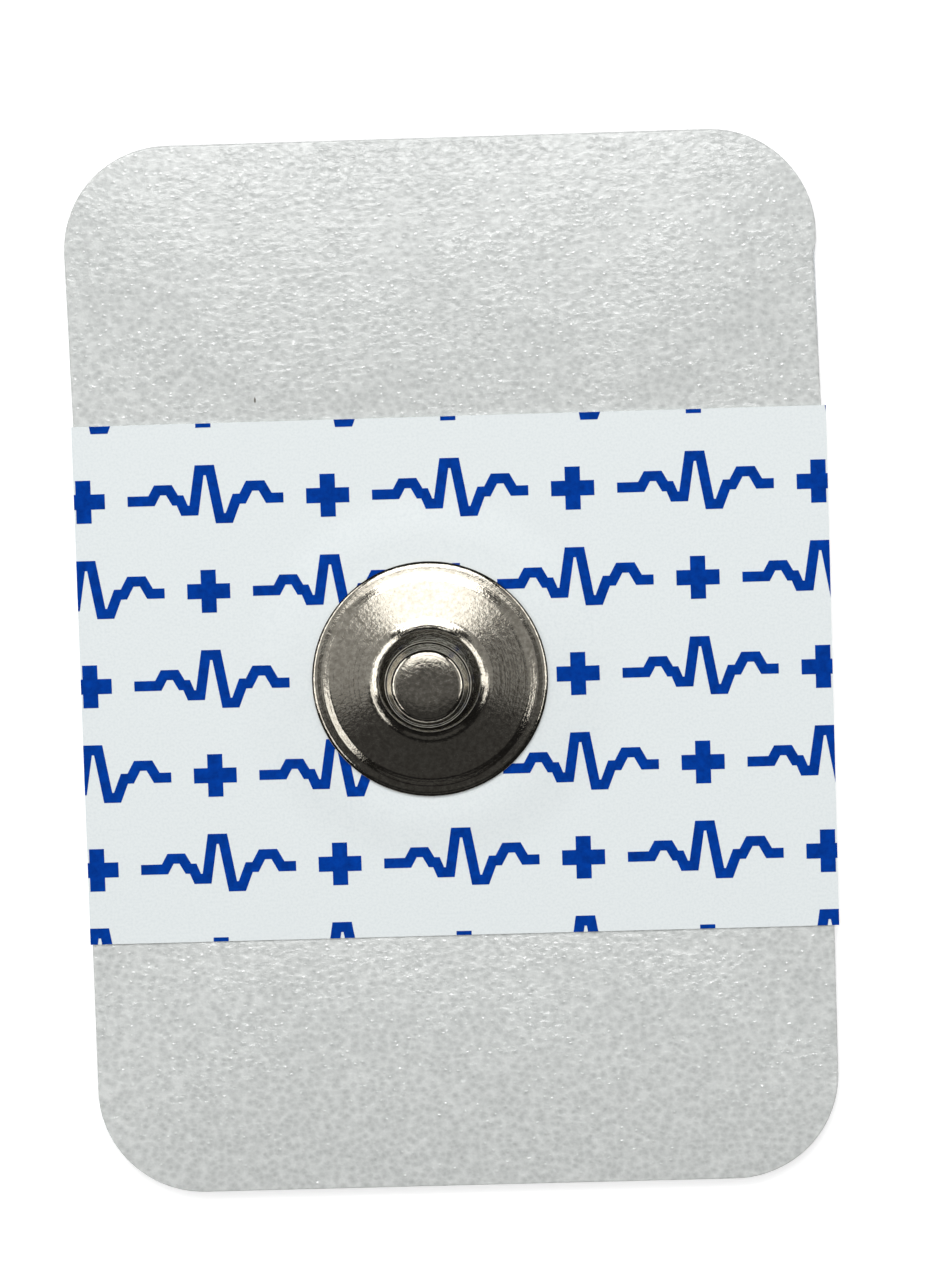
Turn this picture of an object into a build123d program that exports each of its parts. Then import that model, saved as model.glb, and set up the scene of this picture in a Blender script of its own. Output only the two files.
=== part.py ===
from build123d import *
from collections import namedtuple
from math import ceil, radians, sin, tan
import os

# Snap electrode lying flat on its liner, stud upwards. All sizes are in millimetres.
# +Z is up, +Y runs along the foam's length, and the origin is on the table under the foam's middle.

# Foam backing
foam_width = 35.4
foam_length = 50.0
foam_thickness = 1.0
corner_radius = 5.0
gel_hole_diameter = 18.6

# Small faults of the foam's die cut: one end leans sideways, and one corner stands proud
end_lean = 0.2
corner_step = 0.17
corner_step_run = 0.6
corner_step_gap = 0.4

# Label strip, a little wider than the foam and lifted where it spans the gel hole
label_overhang = 0.15
label_length = 24.75
label_film = 0.1
label_offset_x = 0.07
label_offset_y = -0.5
label_lift = 0.15
lift_margin = 0.3
lift_ramp = 2.4

# Snap stud, pressed from sheet: heights are counted from each feature to the next one up
stud_x = -1.16
stud_y = -0.55
stud_sheet = 0.25
flange_diameter = 11.2
edge_height = 0.13
curl_run = 0.11
curl_rise = 0.115
curl_round = 0.42
brim_run = 0.37
brim_rise = 0.02
step_run = 0.38
step_rise = 0.16
cone_rise = 0.27
skirt_diameter = 5.7
skirt_round = 1.2
skirt_run = 0.41
skirt_rise = 0.23
neck_inset = 0.52
neck_rise = 0.98
groove_depth = 0.33
groove_rise = 0.23
groove_round = 0.15
undercut_height = 0.23
head_diameter = 4.1
head_band = 0.3
lip_inset = 0.12
lip_rise = 0.085
shoulder_inset = 0.33
shoulder_rise = 0.6
crown_inset = 0.32
crown_rise = 0.18
crown_round = 1.4

# Sensor under the label, its post swaged into the stud's hollow
sensor_diameter = 10.0
sensor_flange = 0.5
swage_clearance = 0.02
post_hole_clearance = 0.1

# Gel and liner
gel_clearance = 0.1
liner_film = 0.1

# Heights of the stack, from the table up
foam_bottom = liner_film
label_bottom = foam_bottom + foam_thickness
lifted_bottom = label_bottom + label_lift
stud_seat = lifted_bottom + label_film

# Radii about the stud's axis
hole_radius = gel_hole_diameter / 2
flange_radius = flange_diameter / 2
head_radius = head_diameter / 2
skirt_radius = skirt_diameter / 2
sensor_radius = sensor_diameter / 2
lift_foot = hole_radius - lift_margin
lift_crown = lift_foot - lift_ramp
stud_axis = Pos(stud_x, stud_y, 0)

# The most of a straight run that the roundings of its two ends may use up together
run_fill = 0.98

# A corner of an outline: where it is, its rounding, and whether the rounding is hidden
Corner = namedtuple("Corner", "u v radius hidden", defaults=(0, False))

# The most degrees that one flat of a hidden rounding turns
flat_bend = 30


def half_angle_at(points, index):
    """Half of the angle between the two runs that meet at a corner, in radians."""
    back = points[index - 1] - points[index]
    ahead = points[(index + 1) % len(points)] - points[index]
    return radians(back.get_angle(ahead)) / 2


def shared_reach(run, own, other):
    """Reach of one end's rounding along a run, cut back where the two ends would meet."""
    return min(own, run_fill * run * own / (own + other)) if own else 0


def as_flats(arc):
    """A run of flats along an arc, for a rounding that nobody sees."""
    flats = ceil((arc % 0).get_angle(arc % 1) / flat_bend)
    return Polyline(*[arc @ (step / flats) for step in range(flats + 1)])


def rounded_face(corners):
    """Face inside a closed outline of straight runs, each corner rounded as it says."""
    points = [Vector(corner.u, corner.v) for corner in corners]
    half_angles = [half_angle_at(points, index) for index in range(len(points))]
    wanted = [corner.radius / tan(half) for corner, half in zip(corners, half_angles)]
    starts = []
    ends = []
    bends = []
    for index, point in enumerate(points):
        following = (index + 1) % len(points)
        back = points[index - 1] - point
        ahead = points[following] - point
        reach = min(
            shared_reach(back.length, wanted[index], wanted[index - 1]),
            shared_reach(ahead.length, wanted[index], wanted[following]),
        )
        start = point + back.normalized() * reach
        end = point + ahead.normalized() * reach
        starts.append(start)
        ends.append(end)
        if reach:
            half = half_angles[index]
            arc_radius = reach * tan(half)
            bisector = (back.normalized() + ahead.normalized()).normalized()
            middle = point + bisector * (arc_radius / sin(half) - arc_radius)
            arc = ThreePointArc(start, middle, end)
            bends.append(as_flats(arc) if corners[index].hidden else arc)
    runs = [Line(ends[index - 1], starts[index]) for index in range(len(points))]
    return make_face(runs + bends)


def inset_skin(corners, depth):
    """Corners of the skin that lies a given depth to the left of an open chain of runs."""
    points = [Vector(corner.u, corner.v) for corner in corners]
    runs = [(after - before).normalized() for before, after in zip(points, points[1:])]
    sides = [Vector(-run.Y, run.X) for run in runs]
    skin = []
    for corner, point, before, after in zip(corners, points, sides[:1] + sides, sides + sides[-1:]):
        moved = point + (before + after) * (depth / (1 + before.dot(after)))
        radius = corner.radius
        if radius:
            turns_left = before.cross(after).Z > 0
            radius = max(radius - depth, 0) if turns_left else radius + depth
        skin.append(Corner(moved.X, moved.Y, radius, hidden=True))
    return skin


def turned(corners):
    """Solid of revolution about the stud's axis from corners given as radius and height."""
    return stud_axis * revolve(Plane.XZ * rounded_face(corners), Axis.Z)


def foam_outline():
    """The die-cut outline: rounded corners, one leaning end and one corner that stands proud."""
    half_width = foam_width / 2
    half_length = foam_length / 2
    bend_y = label_offset_y + label_length / 2
    step_top = half_length - corner_radius - corner_step_gap
    step_foot = step_top - corner_step_run
    lean_share = (step_foot - bend_y) / (half_length - bend_y)
    return rounded_face([
        Corner(-half_width, -half_length, corner_radius),
        Corner(half_width, -half_length, corner_radius),
        Corner(half_width, bend_y),
        Corner(half_width - end_lean * lean_share, step_foot),
        Corner(half_width - end_lean + corner_step, step_top),
        Corner(half_width - end_lean + corner_step, half_length, corner_radius),
        Corner(-half_width - end_lean, half_length, corner_radius),
        Corner(-half_width, bend_y),
    ])


def make_foam_backing():
    """Foam sheet with the gel hole punched on the stud's axis."""
    sheet = Pos(0, 0, foam_bottom) * extrude(foam_outline(), foam_thickness)
    hole = stud_axis * Pos(0, 0, foam_bottom) * extrude(Circle(hole_radius), foam_thickness)
    return sheet - hole


def make_release_liner():
    """Film under the whole adhesive face."""
    return extrude(foam_outline(), liner_film)


def make_top_label():
    """Film strip with a shallow lifted disc over the gel hole and a hole for the sensor's post."""
    strip = extrude(Rectangle(foam_width + 2 * label_overhang, label_length), label_film)
    strip = Pos(label_offset_x, label_offset_y, label_bottom) * strip
    hole = stud_axis * Pos(0, 0, label_bottom) * extrude(Circle(hole_radius), label_film)
    post_hole = swaged_post()[0].u + post_hole_clearance
    disc = turned([
        Corner(hole_radius, label_bottom),
        Corner(hole_radius, label_bottom + label_film),
        Corner(lift_foot, label_bottom + label_film),
        Corner(lift_crown, lifted_bottom + label_film),
        Corner(post_hole, lifted_bottom + label_film),
        Corner(post_hole, lifted_bottom),
        Corner(lift_crown, lifted_bottom),
        Corner(lift_foot, label_bottom),
    ])
    return strip - hole + disc


def stud_flange():
    """Corners of the flange's outer skin, from the foot of its edge up to the skirt's foot."""
    edge_z = stud_seat + edge_height
    curl_z = edge_z + curl_rise
    brim_z = curl_z + brim_rise
    step_z = brim_z + step_rise
    brim_radius = flange_radius - curl_run - brim_run
    return [
        Corner(flange_radius, stud_seat),
        Corner(flange_radius, edge_z),
        Corner(flange_radius - curl_run, curl_z, curl_round),
        Corner(brim_radius, brim_z),
        Corner(brim_radius - step_run, step_z),
        Corner(skirt_radius, step_z + cone_rise, skirt_round),
    ]


def stud_neck():
    """Corners of the drafted neck's outer skin, from its foot on the skirt up to the groove's edge."""
    skirt_foot = stud_flange()[-1]
    neck_foot = skirt_foot.v + skirt_rise
    neck_foot_radius = skirt_foot.u - skirt_run
    return [
        Corner(neck_foot_radius, neck_foot),
        Corner(neck_foot_radius - neck_inset, neck_foot + neck_rise),
    ]


def stud_head():
    """Corners of the head's outer skin, from the groove up to the crown's middle."""
    groove_z = stud_neck()[-1].v + groove_rise
    band_bottom = groove_z + undercut_height
    band_top = band_bottom + head_band
    lip_z = band_top + lip_rise
    shoulder_z = lip_z + shoulder_rise
    crown_z = shoulder_z + crown_rise
    shoulder_radius = head_radius - shoulder_inset
    return [
        Corner(head_radius - groove_depth, groove_z, groove_round, hidden=True),
        Corner(head_radius, band_bottom),
        Corner(head_radius, band_top),
        Corner(head_radius - lip_inset, lip_z),
        Corner(shoulder_radius, shoulder_z),
        Corner(shoulder_radius - crown_inset, crown_z, crown_round),
        Corner(0, crown_z),
    ]


def stud_skin():
    """Corners of the stud's whole outer skin, from the flange's edge to the crown's middle."""
    return stud_flange() + stud_neck() + stud_head()


def make_snap_stud():
    """Pressed stud of one wall: curled rim, brim, step, cone, skirt, drafted neck, groove and head."""
    inside = inset_skin(stud_skin(), stud_sheet)
    return turned(stud_skin() + inside[::-1])


def swaged_post():
    """Corners of the sensor post's skin, which follows the stud's hollow from the groove up."""
    hollow = inset_skin(stud_skin(), stud_sheet + swage_clearance)
    return hollow[-len(stud_head()):]


def make_sensor_eyelet():
    """Flange under the label, with a post that is swaged out into the stud's head."""
    flange_bottom = lifted_bottom - sensor_flange
    shaft, *swaged_head = swaged_post()
    return turned([
        Corner(0, flange_bottom),
        Corner(sensor_radius, flange_bottom),
        Corner(sensor_radius, lifted_bottom),
        Corner(shaft.u, lifted_bottom),
        Corner(shaft.u, shaft.v),
    ] + swaged_head)


def make_gel_pad():
    """Gel disc that fills the foam's hole up to the label and lies round and under the sensor."""
    gel_radius = hole_radius - gel_clearance
    pocket_radius = sensor_radius + gel_clearance
    return turned([
        Corner(0, foam_bottom),
        Corner(gel_radius, foam_bottom),
        Corner(gel_radius, label_bottom - gel_clearance),
        Corner(lift_crown - gel_clearance, lifted_bottom),
        Corner(pocket_radius, lifted_bottom),
        Corner(pocket_radius, lifted_bottom - sensor_flange),
        Corner(0, lifted_bottom - sensor_flange),
    ])


pieces = {
    "release_liner": make_release_liner(),
    "foam_backing": make_foam_backing(),
    "gel_pad": make_gel_pad(),
    "sensor_eyelet": make_sensor_eyelet(),
    "top_label": make_top_label(),
    "snap_stud": make_snap_stud(),
}

os.makedirs("parts", exist_ok=True)
for node, piece in pieces.items():
    export_step(piece, f"parts/{node}.step")
    print(node, len(piece.solids()), "solid", round(piece.volume, 3), "mm3")
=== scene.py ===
import logging
import math
from dataclasses import dataclass, field
from enum import Enum

import bmesh
import bpy
from mathutils import Matrix, Vector


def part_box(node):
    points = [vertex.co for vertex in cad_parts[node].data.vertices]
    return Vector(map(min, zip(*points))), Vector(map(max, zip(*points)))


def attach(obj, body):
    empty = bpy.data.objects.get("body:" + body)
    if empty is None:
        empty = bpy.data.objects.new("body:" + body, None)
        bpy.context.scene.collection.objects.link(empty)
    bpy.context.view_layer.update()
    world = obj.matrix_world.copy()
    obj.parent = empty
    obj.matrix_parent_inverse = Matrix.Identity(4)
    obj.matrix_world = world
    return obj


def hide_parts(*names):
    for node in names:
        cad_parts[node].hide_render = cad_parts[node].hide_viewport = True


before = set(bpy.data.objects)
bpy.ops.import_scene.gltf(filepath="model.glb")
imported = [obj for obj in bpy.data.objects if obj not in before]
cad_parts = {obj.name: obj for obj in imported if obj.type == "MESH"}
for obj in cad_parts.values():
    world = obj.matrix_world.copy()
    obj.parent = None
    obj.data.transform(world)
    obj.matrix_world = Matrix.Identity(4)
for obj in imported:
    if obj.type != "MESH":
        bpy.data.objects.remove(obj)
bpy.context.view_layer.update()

log = logging.getLogger("electrode")

# Pieces are modelled in millimetres and scaled to metres as they are placed.
MM = 0.001

# Tolerances in millimetres: points that count as one, edges that count as nothing, and points
# that count as lying on a cut.
WELD = 1e-5
SLIVER = 1e-6
ON_CUT = 1e-4

# Bevels: the profile of a circular arc, and the material of the faces beside it.
ARC = 0.5
SAME_MATERIAL = -1

# Middle band of a noise, which holds most of its values.
NOISE_BAND = (0.3, 0.7)

# One heartbeat of the label's print, in millimetres about its middle.
PULSE_TRACE = (
    (-3.7, 0.2), (-2.7, 0.2), (-2.42, 0.7), (-1.58, 0.7), (-1.3, 0.2), (-1.05, 0.2),
    (-0.85, -0.3), (-0.77, -0.3), (-0.46, 1.6), (0.46, 1.6), (0.86, -0.7), (0.94, -0.7),
    (1.3, 0.2), (1.62, 0.2), (1.95, 0.8), (2.82, 0.8), (3.15, 0.2), (3.7, 0.2),
)

Colour = tuple[float, float, float]
Stretch = tuple[float, float, float]
Pair = tuple[float, float]
Socket = bpy.types.NodeSocket


class Slot(Enum):
    """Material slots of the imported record."""

    FOAM = "foam"
    LABEL = "label_film"
    STUD = "stud_metal"
    GEL = "gel"


class Motif(Enum):
    """Shapes that the label's print repeats."""

    PULSE = "pulse"
    PLUS = "plus"


class Graph:
    """A material's node tree, grown one node at a time."""

    def __init__(self, name: str) -> None:
        """Start an empty material.

        Args:
            name: The material's name.
        """
        self.material = bpy.data.materials.new(name)
        self.material.use_nodes = True
        self.nodes = self.material.node_tree.nodes
        self.links = self.material.node_tree.links
        self.nodes.clear()

    def add(self, kind: str, inputs: dict[str | int, object], **settings: object) -> bpy.types.Node:
        """Add a node.

        Args:
            kind: The node's type name.
            inputs: Values or sockets for its inputs, by name or number.
            **settings: Other properties of the node.

        Returns:
            The new node.
        """
        node = self.nodes.new(kind)
        for key, value in settings.items():
            setattr(node, key, value)
        for key, value in inputs.items():
            if isinstance(value, bpy.types.NodeSocket):
                self.links.new(value, node.inputs[key])
            else:
                node.inputs[key].default_value = value
        return node

    def millimetres(self, stretch: Stretch = (1, 1, 1)) -> Socket:
        """Object coordinates in millimetres.

        Args:
            stretch: How much longer the pattern is along each axis.

        Returns:
            The vector socket.
        """
        place = self.add("ShaderNodeTexCoord", {}).outputs["Object"]
        scale = [1 / (MM * length) for length in stretch]
        return self.add("ShaderNodeMapping", {"Vector": place, "Scale": scale}).outputs["Vector"]

    def noise(self, place: Socket, size: float, detail: float = 2, roughness: float = 0.5) -> Socket:
        """Soft noise with features of about the given size.

        Args:
            place: Coordinates in millimetres.
            size: Feature size in millimetres.
            detail: Octaves of finer noise.
            roughness: How strong the finer octaves are.

        Returns:
            The value socket, about 0.5 on average.
        """
        inputs = {"Vector": place, "Scale": 1 / size, "Detail": detail, "Roughness": roughness}
        return self.add("ShaderNodeTexNoise", inputs).outputs["Fac"]

    def cells(self, place: Socket, size: float) -> Socket:
        """Distance from the middle of irregular cells.

        Args:
            place: Coordinates in millimetres.
            size: Cell size in millimetres.

        Returns:
            The distance socket, 0 in a cell's middle.
        """
        inputs = {"Vector": place, "Scale": 1 / size, "Randomness": 1.0}
        return self.add("ShaderNodeTexVoronoi", inputs, feature="F1").outputs["Distance"]

    def away(self, place: Socket, centre: Vector, reach: Pair = (1, 1)) -> Socket:
        """Distance from an upright axis.

        Args:
            place: Coordinates in millimetres.
            centre: Where the axis stands, in millimetres.
            reach: Lengths along X and Y that count as a distance of 1.

        Returns:
            The distance socket.
        """
        scale = Vector((1 / reach[0], 1 / reach[1], 0))
        inputs = {"Vector": place, "Location": -centre * scale, "Scale": scale}
        about = self.add("ShaderNodeMapping", inputs).outputs["Vector"]
        return self.add("ShaderNodeVectorMath", {0: about}, operation="LENGTH").outputs["Value"]

    def rings(self, place: Socket, centre: Vector, size: float) -> Socket:
        """Uneven rings about an upright axis.

        Args:
            place: Coordinates in millimetres.
            centre: Where the axis stands, in millimetres.
            size: Spacing of the rings in millimetres.

        Returns:
            The value socket, about 0.5 on average.
        """
        inputs = {"W": self.away(place, centre), "Scale": 1 / size, "Detail": 2.0}
        return self.add("ShaderNodeTexNoise", inputs, noise_dimensions="1D").outputs["Fac"]

    def math(self, operation: str, first: object, second: object, third: object = 0.0) -> Socket:
        """Result of one sum.

        Args:
            operation: The Math node's operation.
            first: First value or socket.
            second: Second value or socket.
            third: Third value or socket, where the operation has one.

        Returns:
            The value socket.
        """
        inputs = {0: first, 1: second, 2: third}
        return self.add("ShaderNodeMath", inputs, operation=operation).outputs[0]

    def span(
        self, value: Socket, low: float, high: float, bottom: float = 0.0, top: float = 1.0,
    ) -> Socket:
        """Map a value from one range to another, held at the ends.

        Args:
            value: The value socket.
            low: Start of the range it comes from.
            high: End of the range it comes from.
            bottom: Start of the range it goes to.
            top: End of the range it goes to.

        Returns:
            The mapped socket.
        """
        inputs = {"Value": value, 1: low, 2: high, 3: bottom, 4: top}
        return self.add("ShaderNodeMapRange", inputs).outputs[0]

    def band(self, noise: Socket, bottom: float = 0.0, top: float = 1.0) -> Socket:
        """Map the middle band of a noise to a range, held at the ends.

        Args:
            noise: The noise's socket.
            bottom: Start of the range it goes to.
            top: End of the range it goes to.

        Returns:
            The mapped socket.
        """
        return self.span(noise, *NOISE_BAND, bottom, top)

    def blend(self, share: Socket, first: Colour, second: Colour | Socket) -> Socket:
        """Colour between two, by a value.

        Args:
            share: 0 for the first colour and 1 for the second.
            first: First colour.
            second: Second colour, or the socket that gives it.

        Returns:
            The colour socket.
        """
        other = second if isinstance(second, bpy.types.NodeSocket) else (*second, 1)
        inputs = {0: share, 6: (*first, 1), 7: other}
        return self.add("ShaderNodeMix", inputs, data_type="RGBA").outputs[2]

    def bump(self, height: Socket, depth: float, under: Socket | None = None) -> Socket:
        """Normal of a relief.

        Args:
            height: The relief's height, 0 to 1.
            depth: Height of 1 in millimetres.
            under: Normal of a coarser relief below it.

        Returns:
            The normal socket.
        """
        inputs = {"Height": height, "Strength": 1.0, "Distance": depth * MM}
        if under is not None:
            inputs["Normal"] = under
        return self.add("ShaderNodeBump", inputs).outputs["Normal"]

    def surface(self, inputs: dict[str, object]) -> bpy.types.Material:
        """Close the tree with a Principled shader.

        Args:
            inputs: Values or sockets for the shader.

        Returns:
            The finished material.
        """
        shader = self.add("ShaderNodeBsdfPrincipled", inputs)
        self.add("ShaderNodeOutputMaterial", {"Surface": shader.outputs["BSDF"]})
        return self.material


@dataclass(frozen=True)
class FoamFinish:
    """White closed-cell foam: small grey cells under a thin glossy skin with a few glinting pimples."""

    cell_colour: Colour = (0.453, 0.472, 0.463)
    wall_colour: Colour = (0.708, 0.727, 0.712)
    fleck_colour: Colour = (0.12, 0.11, 0.09)
    fleck_place: Pair = (-9.03, 12.9)
    fleck_reach: Pair = (0.06, 0.18)
    fleck_core: float = 0.5
    cell: float = 0.28
    cell_reach: float = 0.85
    cell_share: float = 0.5
    grain: float = 0.2
    grain_share: float = 0.9
    tone_band: Pair = (0.35, 1.05)
    stretch: Stretch = (1.2, 1.0, 1.0)
    roughness: Pair = (0.55, 0.7)
    gloss: float = 0.2
    ripple: float = 0.26
    patch: float = 2.4
    patch_band: Pair = (0.36, 0.64)
    patch_calm: float = 0.35
    pimple: float = 0.34
    pimple_reach: float = 0.27
    pimple_skin: float = 0.4
    skin_stretch: Stretch = (1.4, 1.0, 1.0)
    body_relief: float = 0.008
    ripple_relief: float = 0.115
    pimple_relief: float = 0.024
    skin_index: float = 2.2
    skin_share: float = 0.45
    skin_roughness: float = 0.21

    def material(self) -> bpy.types.Material:
        """Make the foam's material: its body takes the cells and its skin the ripples and pimples."""
        graph = Graph("foam_skin")
        place = graph.millimetres(self.stretch)
        walls = graph.span(graph.cells(place, self.cell), 0.0, self.cell_reach)
        grain = graph.noise(place, self.grain, detail=4, roughness=0.7)
        grained = graph.math("MULTIPLY", grain, self.grain_share)
        tone = graph.math("MULTIPLY_ADD", walls, self.cell_share, grained)
        skin = graph.millimetres(self.skin_stretch)
        patches = graph.noise(skin, self.patch, detail=1)
        patches = graph.span(patches, *self.patch_band, self.patch_calm, 1.0)
        ripple = graph.math("MULTIPLY", graph.noise(skin, self.ripple, detail=2), patches)
        pimples = graph.span(graph.cells(skin, self.pimple), 0.0, self.pimple_reach, 1.0, 0.0)
        shade = graph.span(tone, *self.tone_band)
        body = graph.blend(shade, self.cell_colour, self.wall_colour)
        fleck = graph.away(graph.millimetres(), Vector((*self.fleck_place, 0)), self.fleck_reach)
        off_fleck = graph.span(fleck, self.fleck_core, 1.0)
        return graph.surface({
            "Base Color": graph.blend(off_fleck, self.fleck_colour, body),
            "Roughness": graph.band(grain, *self.roughness),
            "Specular IOR Level": self.gloss,
            "Normal": graph.bump(tone, self.body_relief),
            "Coat Weight": graph.span(pimples, 0.0, self.pimple_skin, self.skin_share, 1.0),
            "Coat IOR": self.skin_index,
            "Coat Roughness": self.skin_roughness,
            "Coat Normal": graph.bump(pimples, self.pimple_relief, graph.bump(ripple, self.ripple_relief)),
        })


@dataclass(frozen=True)
class FilmFinish:
    """White label film with a soft satin face."""

    shade: Colour = (0.72, 0.77, 0.78)
    light: Colour = (0.78, 0.825, 0.83)
    fibre: float = 0.12
    fibre_band: Pair = (0.25, 0.6)
    fibre_relief: float = 0.0015
    wave: float = 3.0
    wave_relief: float = 0.02
    roughness: Pair = (0.37, 0.47)
    gloss: float = 0.4

    def material(self) -> bpy.types.Material:
        """Make the film's material."""
        graph = Graph("label_film")
        place = graph.millimetres()
        specks = graph.noise(place, self.fibre, detail=2)
        waves = graph.noise(place, self.wave, detail=1)
        tone = graph.span(specks, *self.fibre_band)
        return graph.surface({
            "Base Color": graph.blend(tone, self.shade, self.light),
            "Roughness": graph.band(specks, *self.roughness),
            "Specular IOR Level": self.gloss,
            "Normal": graph.bump(specks, self.fibre_relief, graph.bump(waves, self.wave_relief)),
        })


@dataclass(frozen=True)
class InkFinish:
    """Blue ink, a little thinner in places."""

    deep: Colour = (0.0005, 0.031, 0.235)
    thin: Colour = (0.0008, 0.049, 0.36)
    patch: float = 0.35
    relief: float = 0.002
    roughness: Pair = (0.50, 0.63)
    gloss: float = 0.02

    def material(self) -> bpy.types.Material:
        """Make the ink's material."""
        graph = Graph("label_ink")
        cover = graph.noise(graph.millimetres(), self.patch, detail=3, roughness=0.6)
        return graph.surface({
            "Base Color": graph.blend(graph.band(cover), self.deep, self.thin),
            "Roughness": graph.band(cover, *self.roughness),
            "Specular IOR Level": self.gloss,
            "Normal": graph.bump(cover, self.relief),
        })


@dataclass(frozen=True)
class PlatedFinish:
    """Nickel-plated pressing with an orange-peel grain, drawing rings and a slight tarnish."""

    centre: Vector
    metal: Colour = (0.53, 0.50, 0.43)
    tarnish: Colour = (0.37, 0.34, 0.285)
    stain: float = 0.22
    stain_band: Pair = (0.35, 0.65)
    peel: float = 0.14
    peel_depth: float = 0.006
    grain: float = 0.06
    grain_depth: float = 0.002
    ring: float = 0.2
    ring_depth: float = 0.005
    roughness: Pair = (0.09, 0.17)

    def material(self) -> bpy.types.Material:
        """Make the plated metal's material."""
        graph = Graph("plated_metal")
        place = graph.millimetres()
        peel = graph.noise(place, self.peel, detail=2, roughness=0.55)
        grain = graph.noise(place, self.grain, detail=2)
        stains = graph.noise(place, self.stain, detail=4, roughness=0.65)
        rings = graph.rings(place, self.centre, self.ring)
        drawn = graph.bump(rings, self.ring_depth)
        coarse = graph.bump(peel, self.peel_depth, drawn)
        bright = graph.span(stains, *self.stain_band)
        return graph.surface({
            "Base Color": graph.blend(bright, self.tarnish, self.metal),
            "Metallic": 1.0,
            "Roughness": graph.band(stains, *self.roughness),
            "Normal": graph.bump(grain, self.grain_depth, coarse),
        })


@dataclass(frozen=True)
class CoatFinish:
    """Grey silver chloride coat on the moulded sensor."""

    dark: Colour = (0.24, 0.24, 0.25)
    light: Colour = (0.42, 0.42, 0.43)
    grain: float = 0.15
    relief: float = 0.005
    metallic: float = 0.35
    roughness: Pair = (0.4, 0.6)

    def material(self) -> bpy.types.Material:
        """Make the coat's material."""
        graph = Graph("silver_chloride")
        grain = graph.noise(graph.millimetres(), self.grain, detail=3)
        return graph.surface({
            "Base Color": graph.blend(graph.band(grain), self.dark, self.light),
            "Metallic": self.metallic,
            "Roughness": graph.band(grain, *self.roughness),
            "Normal": graph.bump(grain, self.relief),
        })


@dataclass(frozen=True)
class GelFinish:
    """Clear wet gel with a faint blue cast."""

    thin: Colour = (0.90, 0.95, 0.96)
    thick: Colour = (0.74, 0.86, 0.90)
    lump: float = 1.4
    relief: float = 0.04
    roughness: Pair = (0.05, 0.16)
    clearness: float = 0.85
    index: float = 1.36

    def material(self) -> bpy.types.Material:
        """Make the gel's material."""
        graph = Graph("wet_gel")
        lumps = graph.noise(graph.millimetres(), self.lump, detail=2)
        return graph.surface({
            "Base Color": graph.blend(lumps, self.thick, self.thin),
            "Roughness": graph.band(lumps, *self.roughness),
            "Transmission Weight": self.clearness,
            "IOR": self.index,
            "Normal": graph.bump(lumps, self.relief),
        })


@dataclass(frozen=True)
class LinerFinish:
    """Clear release film with a faint drawn grain."""

    clear: Colour = (0.93, 0.95, 0.96)
    haze: Colour = (0.85, 0.89, 0.91)
    grain: float = 0.5
    drawn: Stretch = (1, 12, 1)
    relief: float = 0.003
    roughness: Pair = (0.08, 0.2)
    clearness: float = 0.8
    index: float = 1.45

    def material(self) -> bpy.types.Material:
        """Make the liner's material."""
        graph = Graph("release_film")
        grain = graph.noise(graph.millimetres(self.drawn), self.grain, detail=2)
        return graph.surface({
            "Base Color": graph.blend(grain, self.haze, self.clear),
            "Roughness": graph.band(grain, *self.roughness),
            "Transmission Weight": self.clearness,
            "IOR": self.index,
            "Normal": graph.bump(grain, self.relief),
        })


@dataclass(frozen=True)
class FloorFinish:
    """White studio floor that keeps soft shadows."""

    colour: Colour = (0.88, 0.88, 0.88)
    lift: float = 0.42
    roughness: float = 0.9

    def material(self) -> bpy.types.Material:
        """Make the floor's material, lifted to white for the camera and for reflections."""
        graph = Graph("studio_floor")
        path = graph.add("ShaderNodeLightPath", {}).outputs
        seen = graph.math("MAXIMUM", path["Is Camera Ray"], path["Is Glossy Ray"])
        seen = graph.math("MAXIMUM", seen, path["Is Transmission Ray"])
        return graph.surface({
            "Base Color": (*self.colour, 1),
            "Roughness": self.roughness,
            "Specular IOR Level": 0.0,
            "Emission Color": (1, 1, 1, 1),
            "Emission Strength": graph.math("MULTIPLY", seen, self.lift),
        })


def place_piece(name: str, bm: bmesh.types.BMesh, finish: bpy.types.Material) -> bpy.types.Object:
    """Turn a mesh in millimetres into an object of the scene, smooth and in metres.

    Args:
        name: The piece's name.
        bm: The mesh, which is freed.
        finish: Its material.

    Returns:
        The new object, at the origin.
    """
    bmesh.ops.scale(bm, verts=bm.verts, vec=(MM, MM, MM))
    mesh = bpy.data.meshes.new(name)
    bm.to_mesh(mesh)
    bm.free()
    mesh.materials.append(finish)
    mesh.shade_smooth()
    piece = bpy.data.objects.new(name, mesh)
    bpy.context.scene.collection.objects.link(piece)
    log.info("%s: %d faces", name, len(mesh.polygons))
    return piece


def box_centre(node: str) -> Vector:
    """Middle of a CAD node in plan, in millimetres, at height 0."""
    low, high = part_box(node)
    middle = (low + high) / (2 * MM)
    return Vector((middle.x, middle.y, 0))


def dress_node(node: str, finish: bpy.types.Material) -> None:
    """Give a CAD node that stays in view its finish.

    Args:
        node: The node's name.
        finish: Its material.
    """
    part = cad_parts[node]
    for place in part.material_slots:
        place.material = finish
    log.info("%s: CAD node dressed in %s", node, finish.name)


def moved_verts(result: dict[str, list]) -> list[bmesh.types.BMVert]:
    """Vertices in what an extrusion returned."""
    return [item for item in result["geom"] if isinstance(item, bmesh.types.BMVert)]


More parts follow.
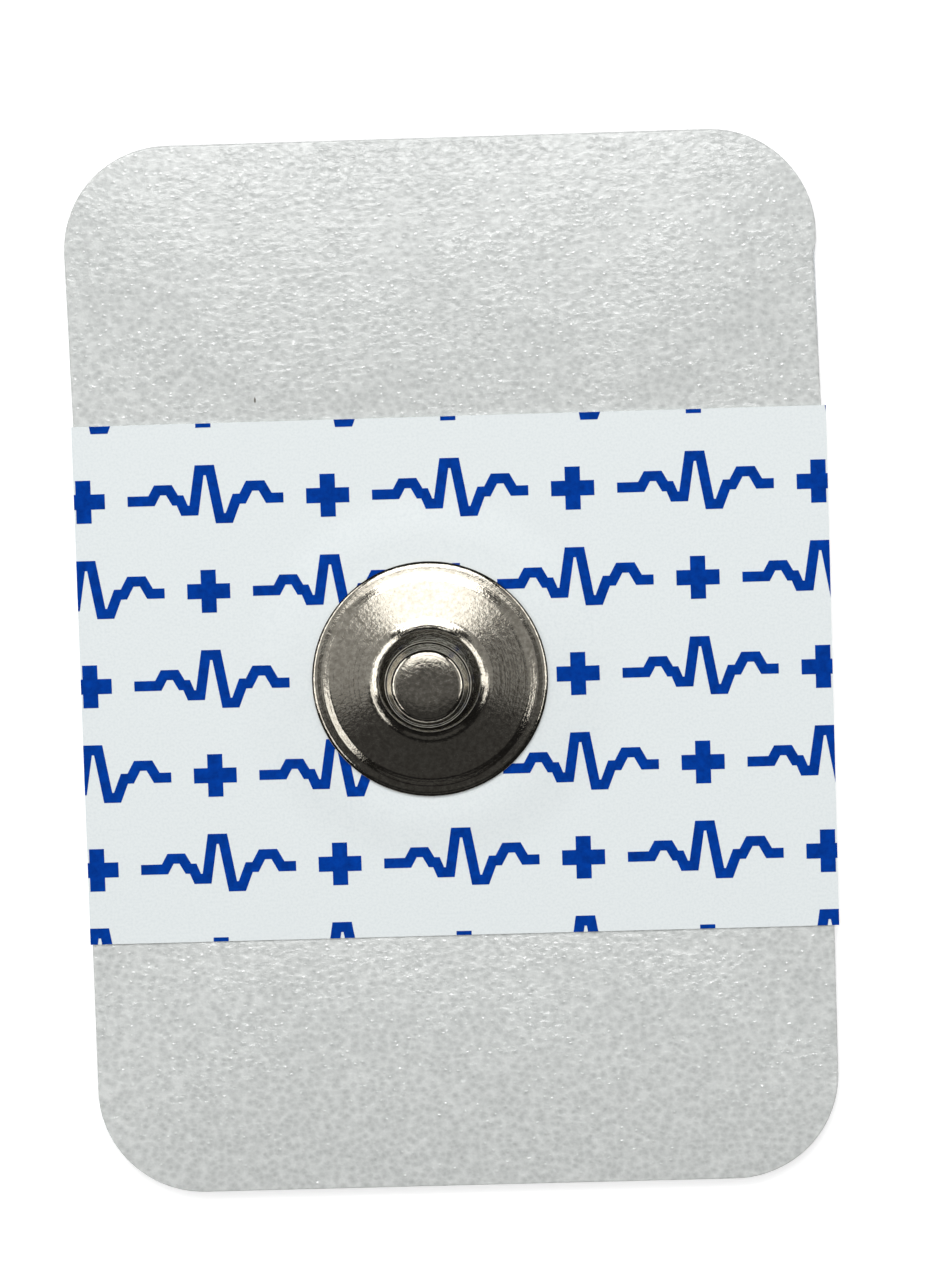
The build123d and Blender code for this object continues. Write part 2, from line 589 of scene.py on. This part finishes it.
def round_off(bm: bmesh.types.BMesh, geometry: list, offset: float, segments: int, kind: str) -> None:
    """Round some vertices or edges of a mesh.

    Args:
        bm: The mesh.
        geometry: The vertices or edges.
        offset: How far from them the rounding starts.
        segments: Facets of the rounding.
        kind: Whether they are VERTICES or EDGES.
    """
    bmesh.ops.bevel(
        bm, geom=geometry, offset=offset, offset_type="OFFSET", segments=segments,
        profile=ARC, affect=kind, material=SAME_MATERIAL,
    )


def spin_round(bm: bmesh.types.BMesh, centre: Vector, steps: int) -> None:
    """Turn a chain of edges once round an upright axis, into a skin without a seam.

    Args:
        bm: The mesh, which holds the chain alone.
        centre: Where the axis stands.
        steps: Facets of the turn.
    """
    bmesh.ops.spin(
        bm, geom=bm.verts[:] + bm.edges[:], cent=centre, axis=(0, 0, 1),
        angle=math.tau, steps=steps, use_merge=True, use_duplicate=False,
    )
    bmesh.ops.remove_doubles(bm, verts=bm.verts, dist=WELD)


def cut_mesh(bm: bmesh.types.BMesh, place: Vector, normal: Vector, trim: bool) -> None:
    """Cut a mesh along a plane.

    Args:
        bm: The mesh.
        place: A point of the plane.
        normal: The plane's normal.
        trim: Whether what lies beyond the plane goes and the cut is closed.
    """
    geometry = bm.verts[:] + bm.edges[:] + bm.faces[:]
    made = bmesh.ops.bisect_plane(
        bm, geom=geometry, dist=ON_CUT, plane_co=place, plane_no=normal, clear_outer=trim,
    )
    if trim:
        rims = [item for item in made["geom_cut"] if isinstance(item, bmesh.types.BMEdge)]
        bmesh.ops.holes_fill(bm, edges=rims)


@dataclass(frozen=True)
class Corner:
    """A corner of a turned profile, in millimetres: radius, height and the radius of its rounding."""

    r: float
    z: float
    rounding: float = 0.0
    segments: int = 6

    def reach(self, before: "Corner", after: "Corner") -> float:
        """How far from this corner its rounding starts.

        Args:
            before: The corner before it.
            after: The corner after it.

        Returns:
            The distance along either run.
        """
        back = Vector((before.r - self.r, before.z - self.z))
        ahead = Vector((after.r - self.r, after.z - self.z))
        return self.rounding / math.tan(back.angle(ahead) / 2)


@dataclass(frozen=True)
class Lathe:
    """Turns profiles about an upright axis."""

    centre: Vector
    steps: int = 144

    def chain(self, bm: bmesh.types.BMesh, corners: list[Corner]) -> None:
        """Draw a profile as an open chain of edges, with its corners rounded.

        Args:
            bm: The empty mesh that gets the chain.
            corners: The profile from one end to the other.
        """
        points = [bm.verts.new((self.centre.x + c.r, self.centre.y, c.z)) for c in corners]
        bm.faces.new(points)
        ends = {points[0], points[-1]}
        for before, corner, after, point in zip(corners, corners[1:], corners[2:], points[1:]):
            if corner.rounding:
                round_off(bm, [point], corner.reach(before, after), corner.segments, "VERTICES")
        bmesh.ops.delete(bm, geom=bm.faces[:], context="FACES_ONLY")
        closing = [edge for edge in bm.edges if set(edge.verts) == ends]
        bmesh.ops.delete(bm, geom=closing, context="EDGES")

    def turn(self, corners: list[Corner]) -> bmesh.types.BMesh:
        """Turn a profile once round the axis.

        Args:
            corners: The profile from one end to the other.

        Returns:
            The turned skin, its normals outwards.
        """
        bm = bmesh.new()
        self.chain(bm, corners)
        spin_round(bm, self.centre, self.steps)
        bmesh.ops.dissolve_degenerate(bm, edges=bm.edges, dist=SLIVER)
        bmesh.ops.recalc_face_normals(bm, faces=bm.faces)
        return bm


@dataclass
class FoamBacking:
    """The die-cut foam body, soft at its edges, with the gel hole through it."""

    lean: float = 0.2
    bend_y: float = 11.875
    corner_radius: float = 5.0
    corner_step: float = 0.17
    step_run: float = 0.6
    step_gap: float = 0.4
    hole_radius: float = 9.3
    notch: float = 0.1
    edge_round: float = 0.12
    edge_segments: int = 3
    corner_segments: int = 24
    hole_segments: int = 96
    rim_angle: float = 60.0
    sharp_angle: float = 25.0
    hole_centre: Vector = field(default_factory=lambda: box_centre("snap_stud"))

    def outline(self) -> list[tuple[float, float]]:
        """Corners of the die cut from the lower left one round, one end leaning and one corner proud."""
        low, high = (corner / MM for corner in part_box("release_liner"))
        half_width = high.x
        half_length = (high.y - low.y) / 2
        step_top = half_length - self.corner_radius - self.step_gap
        step_foot = step_top - self.step_run
        leaning = self.notch + self.lean * (step_foot - self.bend_y) / (half_length - self.bend_y)
        proud = half_width - self.lean + self.corner_step
        return [
            (-half_width, -half_length),
            (half_width, -half_length),
            (half_width, self.bend_y),
            (half_width - leaning, step_foot),
            (proud, step_top),
            (proud, half_length),
            (-half_width - self.lean, half_length),
            (-half_width, self.bend_y),
        ]

    def sheet(self) -> bmesh.types.BMesh:
        """Cut the outline and the hole and give the sheet its thickness.

        Returns:
            The closed sheet with sharp edges.
        """
        low, high = (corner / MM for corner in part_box("foam_backing"))
        bm = bmesh.new()
        points = [bm.verts.new((x, y, low.z)) for x, y in self.outline()]
        bm.faces.new(points)
        end = max(abs(point.co.y) for point in points)
        rounded = [point for point in points if abs(point.co.y) == end]
        round_off(bm, rounded, self.corner_radius, self.corner_segments, "VERTICES")
        bmesh.ops.delete(bm, geom=bm.faces[:], context="FACES_ONLY")
        place = Matrix.Translation((self.hole_centre.x, self.hole_centre.y, low.z))
        bmesh.ops.create_circle(bm, segments=self.hole_segments, radius=self.hole_radius, matrix=place)
        bmesh.ops.triangle_fill(bm, use_beauty=True, use_dissolve=False, edges=bm.edges)
        top = bmesh.ops.extrude_face_region(bm, geom=bm.faces[:])
        bmesh.ops.translate(bm, verts=moved_verts(top), vec=(0, 0, high.z - low.z))
        bmesh.ops.recalc_face_normals(bm, faces=bm.faces)
        return bm

    def ease(self, bm: bmesh.types.BMesh) -> bmesh.types.BMesh:
        """Round the cut edges of the sheet a little.

        Args:
            bm: The sharp sheet, which is changed.

        Returns:
            The same sheet.
        """
        sharp = math.radians(self.rim_angle)
        rims = [
            edge for edge in bm.edges
            if edge.calc_face_angle() > sharp and edge.verts[0].co.z == edge.verts[1].co.z
        ]
        round_off(bm, rims, self.edge_round, self.edge_segments, "EDGES")
        return bm

    def build(self) -> bpy.types.Object:
        """Build and dress the foam.

        Returns:
            The foam's object.
        """
        piece = place_piece("foam_body", self.ease(self.sheet()), FoamFinish().material())
        piece.data.set_sharp_from_angle(angle=math.radians(self.sharp_angle))
        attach(piece, "root")
        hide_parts("foam_backing")
        return piece


@dataclass
class TopLabel:
    """Film strip over the foam, lifted in a disc over the gel hole, with its print."""

    film: float = 0.1
    post_hole: float = 1.41
    foot_radius: float = 9.0
    crown_radius: float = 6.6
    ramp_margin: float = 0.3
    disc_radius: float = 10.5
    ramp_cuts: int = 16
    long_edges: int = 38
    short_edges: int = 26
    ink: float = 0.016
    row_pitch: float = 4.4
    motif_pitch: float = 11.6
    pulse_stroke: float = 0.48
    plus_arm: float = 0.66
    plus_width: float = 0.72
    cut_pitch: float = 0.25
    sharp_angle: float = 35.0
    centre: Vector = field(default_factory=lambda: box_centre("snap_stud"))

    def __post_init__(self) -> None:
        """Take the strip's box from the frame."""
        self.low, self.high = (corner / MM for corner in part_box("top_label"))
        self.middle = (self.low + self.high) / 2
        self.flat_z = self.low.z + self.film

    def height_at(self, x: float, y: float) -> float:
        """Height of the film's upper face at a point."""
        r = math.hypot(x - self.centre.x, y - self.centre.y)
        share = min(max((self.foot_radius - r) / (self.foot_radius - self.crown_radius), 0), 1)
        return self.flat_z + (self.high.z - self.flat_z) * share * share * (3 - 2 * share)

    def strip(self) -> bmesh.types.BMesh:
        """Make the film: rings about the post hole, joined to the strip's straight edges.

        Returns:
            The closed film.
        """
        bm = bmesh.new()
        ramp = (self.crown_radius - self.ramp_margin, self.foot_radius + self.ramp_margin)
        radii = (self.post_hole, *ramp, self.disc_radius)
        points = [bm.verts.new((self.centre.x + r, self.centre.y, self.flat_z)) for r in radii]
        runs = [bm.edges.new(pair) for pair in zip(points, points[1:])]
        bmesh.ops.subdivide_edges(bm, edges=[runs[1]], cuts=self.ramp_cuts)
        spin_round(bm, self.centre, 2 * (self.long_edges + self.short_edges))
        rim = [
            edge for edge in bm.edges
            if edge.is_boundary and (edge.verts[0].co - self.centre).xy.length > self.foot_radius
        ]
        sheet = bmesh.ops.create_grid(bm, x_segments=1, y_segments=1, size=0.5)["verts"]
        size = self.high - self.low
        bmesh.ops.scale(bm, verts=sheet, vec=(size.x, size.y, 1))
        bmesh.ops.translate(bm, verts=sheet, vec=(self.middle.x, self.middle.y, self.flat_z))
        bmesh.ops.delete(bm, geom=sheet[0].link_faces[:], context="FACES_ONLY")
        sides = dict.fromkeys(edge for vert in sheet for edge in vert.link_edges)
        outer = []
        for side in sides:
            run = side.verts[0].co - side.verts[1].co
            edges = self.long_edges if abs(run.x) > abs(run.y) else self.short_edges
            made = bmesh.ops.subdivide_edges(bm, edges=[side], cuts=edges - 1)
            outer += [item for item in made["geom_split"] if isinstance(item, bmesh.types.BMEdge)]
        bmesh.ops.bridge_loops(bm, edges=rim + list(dict.fromkeys(outer)))
        for vert in bm.verts:
            vert.co.z = self.height_at(vert.co.x, vert.co.y)
        bmesh.ops.recalc_face_normals(bm, faces=bm.faces)
        if sum(face.normal.z for face in bm.faces) < 0:
            bmesh.ops.reverse_faces(bm, faces=bm.faces)
        under = bmesh.ops.extrude_face_region(bm, geom=bm.faces[:], use_keep_orig=True)
        bmesh.ops.translate(bm, verts=moved_verts(under), vec=(0, 0, -self.film))
        bmesh.ops.recalc_face_normals(bm, faces=bm.faces)
        return bm

    def pulse(self, bm: bmesh.types.BMesh) -> list[bmesh.types.BMVert]:
        """Draw one heartbeat trace as a stroke of even width.

        Args:
            bm: The mesh that gets it.

        Returns:
            Its vertices, about the origin.
        """
        points = [bm.verts.new((x, y, 0)) for x, y in PULSE_TRACE]
        runs = [bm.edges.new(pair) for pair in zip(points, points[1:])]
        wall = bmesh.ops.extrude_edge_only(bm, edges=runs)
        bmesh.ops.translate(bm, verts=moved_verts(wall), vec=(0, 0, self.ink))
        faces = [item for item in wall["geom"] if isinstance(item, bmesh.types.BMFace)]
        solid = bmesh.ops.solidify(bm, geom=faces, thickness=self.pulse_stroke)
        return list(dict.fromkeys(points + moved_verts(wall) + moved_verts(solid)))

    def plus(self, bm: bmesh.types.BMesh) -> list[bmesh.types.BMVert]:
        """Draw one plus sign.

        Args:
            bm: The mesh that gets it.

        Returns:
            Its vertices, about the origin.
        """
        verts = bmesh.ops.create_cube(bm, size=1.0)["verts"]
        bmesh.ops.scale(bm, verts=verts, vec=(self.plus_width, self.plus_width, self.ink))
        bmesh.ops.translate(bm, verts=verts, vec=(0, 0, self.ink / 2))
        faces = dict.fromkeys(face for vert in verts for face in vert.link_faces)
        sides = [face for face in faces if abs(face.normal.z) < face.normal.xy.length]
        for side in sides:
            arm = bmesh.ops.extrude_discrete_faces(bm, faces=[side])["faces"][0]
            bmesh.ops.translate(bm, verts=arm.verts, vec=arm.normal * self.plus_arm)
            verts = verts + arm.verts[:]
        return list(dict.fromkeys(verts))

    def print_on(self) -> bmesh.types.BMesh:
        """Lay the motifs out in half-drop rows, trim them to the strip and press them onto it.

        Returns:
            The print.
        """
        bm = bmesh.new()
        size = self.high - self.low
        rows = math.ceil(size.y / self.row_pitch / 2)
        columns = math.ceil(size.x / self.motif_pitch / 2) + 1
        for row in range(-rows, rows + 1):
            for column in range(-columns, columns + 1):
                x = self.middle.x + (column + (row % 2) / 2) * self.motif_pitch
                y = self.middle.y + row * self.row_pitch
                for motif, shift in ((Motif.PULSE, 0.0), (Motif.PLUS, self.motif_pitch / 2)):
                    drawn = self.pulse(bm) if motif is Motif.PULSE else self.plus(bm)
                    bmesh.ops.translate(bm, verts=drawn, vec=(x + shift, y, 0))
        for axis, low, high in ((Vector((1, 0, 0)), self.low.x, self.high.x),
                                (Vector((0, 1, 0)), self.low.y, self.high.y)):
            for side, limit in ((axis, high), (-axis, low)):
                cut_mesh(bm, axis * limit, side, trim=True)
            for step in range(1, int((high - low) / self.cut_pitch)):
                cut_mesh(bm, axis * (low + step * self.cut_pitch), axis, trim=False)
        for vert in bm.verts:
            vert.co.z += self.height_at(vert.co.x, vert.co.y)
        bmesh.ops.recalc_face_normals(bm, faces=bm.faces)
        return bm

    def build(self) -> list[bpy.types.Object]:
        """Build and dress the strip and its print.

        Returns:
            The strip's and the print's objects.
        """
        strip = place_piece("label_strip", self.strip(), FilmFinish().material())
        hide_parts("top_label")
        inked = place_piece("label_print", self.print_on(), InkFinish().material())
        for piece in (strip, inked):
            piece.data.set_sharp_from_angle(angle=math.radians(self.sharp_angle))
            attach(piece, "root")
        return [strip, inked]


@dataclass
class SnapStud:
    """Pressed sheet-metal stud: curled rim, dished flange, drafted neck, groove and snap head."""

    sheet: float = 0.25
    edge_height: float = 0.13
    curl_run: float = 0.11
    curl_rise: float = 0.115
    curl_round: float = 0.42
    brim_run: float = 0.37
    brim_rise: float = 0.02
    brim_round: float = 0.4
    step_run: float = 0.38
    step_rise: float = 0.16
    step_round: float = 0.5
    skirt_radius: float = 2.85
    cone_rise: float = 0.27
    skirt_round: float = 1.2
    skirt_run: float = 0.41
    skirt_rise: float = 0.23
    neck_inset: float = 0.52
    neck_rise: float = 0.98
    groove_depth: float = 0.33
    groove_rise: float = 0.23
    groove_round: float = 0.15
    undercut_height: float = 0.23
    head_radius: float = 2.05
    head_band: float = 0.3
    lip_inset: float = 0.12
    lip_rise: float = 0.085
    lip_round: float = 0.12
    shoulder_inset: float = 0.33
    shoulder_rise: float = 0.6
    crown_rise: float = 0.18
    dome_inset: float = 0.14
    dome_drop: float = 0.055
    dome_round: float = 0.35
    flat_radius: float = 1.0
    flat_round: float = 6.0
    edge_round: float = 0.04
    edge_segments: int = 3
    sharp_angle: float = 20.0

    def __post_init__(self) -> None:
        """Take the stud's place and flange from the frame."""
        self.low, self.high = (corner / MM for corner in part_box("snap_stud"))
        self.centre = box_centre("snap_stud")
        self.flange_radius = (self.high.x - self.low.x) / 2

    def profile(self) -> list[Corner]:
        """Outer skin from the foot of the rim up to the crown's middle."""
        edge_z = self.low.z + self.edge_height
        curl_r = self.flange_radius - self.curl_run
        curl_z = edge_z + self.curl_rise
        brim_r = curl_r - self.brim_run
        brim_z = curl_z + self.brim_rise
        step_z = brim_z + self.step_rise
        skirt_z = step_z + self.cone_rise
        foot_r = self.skirt_radius - self.skirt_run
        foot_z = skirt_z + self.skirt_rise
        neck_top = foot_z + self.neck_rise
        groove_z = neck_top + self.groove_rise
        band_bottom = groove_z + self.undercut_height
        band_top = band_bottom + self.head_band
        lip_z = band_top + self.lip_rise
        shoulder_r = self.head_radius - self.shoulder_inset
        shoulder_z = lip_z + self.shoulder_rise
        crown_z = shoulder_z + self.crown_rise
        return [
            Corner(self.flange_radius, self.low.z),
            Corner(self.flange_radius, edge_z),
            Corner(curl_r, curl_z, self.curl_round),
            Corner(brim_r, brim_z, self.brim_round, segments=4),
            Corner(brim_r - self.step_run, step_z, self.step_round, segments=4),
            Corner(self.skirt_radius, skirt_z, self.skirt_round, segments=8),
            Corner(foot_r, foot_z, self.edge_round, self.edge_segments),
            Corner(foot_r - self.neck_inset, neck_top, self.edge_round, self.edge_segments),
            Corner(self.head_radius - self.groove_depth, groove_z, self.groove_round),
            Corner(self.head_radius, band_bottom, self.edge_round, self.edge_segments),
            Corner(self.head_radius, band_top, self.lip_round, segments=5),
            Corner(self.head_radius - self.lip_inset, lip_z, self.edge_round, self.edge_segments),
            Corner(shoulder_r, shoulder_z, self.edge_round, self.edge_segments),
            Corner(shoulder_r - self.dome_inset, crown_z - self.dome_drop, self.dome_round, segments=8),
            Corner(self.flat_radius, crown_z, self.flat_round),
            Corner(0, crown_z),
        ]

    def build(self) -> bpy.types.Object:
        """Build and dress the stud.

        Returns:
            The stud's object.
        """
        bm = Lathe(self.centre).turn(self.profile())
        if sum(face.normal.z * face.calc_area() for face in bm.faces) < 0:
            bmesh.ops.reverse_faces(bm, faces=bm.faces)
        bmesh.ops.solidify(bm, geom=bm.faces[:], thickness=self.sheet)
        piece = place_piece("stud_shell", bm, PlatedFinish(self.centre).material())
        piece.data.set_sharp_from_angle(angle=math.radians(self.sharp_angle))
        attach(piece, "root")
        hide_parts("snap_stud")
        return piece


@dataclass
class GelPad:
    """Gel disc in the foam's hole, soft at its rim, with a pocket for the sensor."""

    radius: float = 9.2
    foot_round: float = 0.1
    rim_drop: float = 0.25
    rim_round: float = 0.3
    slope: float = 2.7
    pocket_radius: float = 5.1
    pocket_depth: float = 0.5
    steps: int = 96
    sharp_angle: float = 40.0

    def build(self) -> bpy.types.Object:
        """Build and dress the gel.

        Returns:
            The gel's object.
        """
        low, high = (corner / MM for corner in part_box("gel_pad"))
        shoulder = self.radius - self.slope
        bm = Lathe(box_centre("snap_stud"), self.steps).turn([
            Corner(0, low.z),
            Corner(self.radius, low.z, self.foot_round, segments=3),
            Corner(self.radius, high.z - self.rim_drop, self.rim_round, segments=5),
            Corner(shoulder, high.z, self.rim_round, segments=4),
            Corner(self.pocket_radius, high.z),
            Corner(self.pocket_radius, high.z - self.pocket_depth),
            Corner(0, high.z - self.pocket_depth),
        ])
        piece = place_piece("gel_disc", bm, GelFinish().material())
        piece.data.set_sharp_from_angle(angle=math.radians(self.sharp_angle))
        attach(piece, "root")
        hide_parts("gel_pad")
        return piece


@dataclass(frozen=True)
class PhotoCamera:
    """The picture's camera, fitted to the label's corners and the stud's rings."""

    image: tuple[int, int] = (935, 1278)
    target: tuple[float, float, float] = (0.07, 0.08, 0.0)
    target_pixel: Pair = (456.4, 661.9)
    distance: float = 300.0
    pixels_per_mm: float = 21.0
    lean_x: float = 2.06
    lean_y: float = 5.74
    roll: float = -1.82
    sensor: float = 36.0
    clip: float = 0.01

    def place(self) -> None:
        """Set the camera up and make it the scene's."""
        width, height = self.image
        back = Vector((math.sin(math.radians(self.lean_x)), math.sin(math.radians(self.lean_y)), 0))
        back.z = math.sqrt(1 - back.length_squared)
        right = Vector((0, 1, 0)).cross(back).normalized()
        axes = Matrix((right, back.cross(right), back)).transposed()
        turned = axes @ Matrix.Rotation(math.radians(self.roll), 3, "Z")
        data = bpy.data.cameras.new("camera")
        data.sensor_width = self.sensor
        data.lens = self.sensor * self.pixels_per_mm * self.distance / height
        data.shift_x = (width / 2 - self.target_pixel[0]) / height
        data.shift_y = (self.target_pixel[1] - height / 2) / height
        data.clip_start = self.clip
        camera = bpy.data.objects.new("camera", data)
        place = (Vector(self.target) + back * self.distance) * MM
        camera.matrix_world = Matrix.Translation(place) @ turned.to_4x4()
        bpy.context.scene.collection.objects.link(camera)
        bpy.context.scene.camera = camera


@dataclass(frozen=True)
class Lamp:
    """A rectangular studio lamp that faces the electrode."""

    name: str
    azimuth: float
    elevation: float
    distance: float
    size: Pair
    radiance: float
    in_reflections: bool = True

    def place(self) -> None:
        """Hang the lamp: azimuth is clockwise from +Y, seen from above."""
        across = math.cos(math.radians(self.elevation))
        toward = Vector((
            math.sin(math.radians(self.azimuth)) * across,
            math.cos(math.radians(self.azimuth)) * across,
            math.sin(math.radians(self.elevation)),
        ))
        data = bpy.data.lights.new(self.name, "AREA")
        data.shape = "RECTANGLE"
        data.size, data.size_y = self.size
        data.energy = self.radiance * math.pi * self.size[0] * self.size[1]
        lamp = bpy.data.objects.new(self.name, data)
        facing = (-toward).to_track_quat("-Z", "Y").to_matrix()
        lamp.matrix_world = Matrix.Translation(toward * self.distance) @ facing.to_4x4()
        lamp.visible_camera = False
        lamp.visible_glossy = self.in_reflections
        bpy.context.scene.collection.objects.link(lamp)


@dataclass(frozen=True)
class Studio:
    """Pale floor, dim room and soft lamps."""

    floor_half: float = 2.0
    floor_drop: float = 0.00002
    room: Colour = (0.016, 0.016, 0.016)
    lamps: tuple[Lamp, ...] = (
        Lamp("window", -3, 54, 0.6, (0.46, 0.28), 4.6),
        Lamp("window_top", -9, 74, 0.7, (0.3, 0.31), 2.6),
        Lamp("ceiling", 180, 84, 0.9, (0.46, 0.2), 0.145),
        Lamp("back_wall", 180, 66, 0.9, (0.9, 0.3), 0.052),
        Lamp("back_low", 180, 36, 0.8, (0.7, 0.16), 0.08),
        Lamp("left_wall", -74, 57, 0.9, (0.6, 0.58), 0.46),
        Lamp("right_wall", 78, 57, 0.9, (0.6, 0.58), 0.38),
        Lamp("left_low", -75, 33, 0.8, (0.9, 0.16), 3.4),
        Lamp("left_rear", -118, 41, 0.8, (0.4, 0.12), 2.3),
        Lamp("right_low", 72, 33, 0.8, (0.8, 0.15), 2.9),
        Lamp("right_rear", 106, 41, 0.8, (0.3, 0.12), 2.3),
        Lamp("fill", 180, 70, 0.9, (0.9, 0.9), 0.6, in_reflections=False),
    )

    def build(self) -> None:
        """Lay the floor and set the light."""
        bm = bmesh.new()
        bmesh.ops.create_grid(bm, x_segments=1, y_segments=1, size=self.floor_half / MM)
        bmesh.ops.translate(bm, verts=bm.verts, vec=(0, 0, -self.floor_drop / MM))
        floor = place_piece("floor", bm, FloorFinish().material())
        world = bpy.data.worlds.new("room")
        world.use_nodes = True
        world.node_tree.nodes["Background"].inputs["Color"].default_value = (*self.room, 1)
        scene = bpy.context.scene
        scene.world = world
        scene.view_settings.view_transform = "Standard"
        for lamp in self.lamps:
            lamp.place()


def main() -> None:
    """Build every piece, the studio and the camera, and log each new piece's face count."""
    logging.basicConfig(level=logging.INFO, format="%(name)s: %(message)s")
    PhotoCamera().place()
    Studio().build()
    FoamBacking().build()
    TopLabel().build()
    SnapStud().build()
    GelPad().build()
    dress_node("sensor_eyelet", CoatFinish().material())
    dress_node("release_liner", LinerFinish().material())


if __name__ == "__main__":
    main()
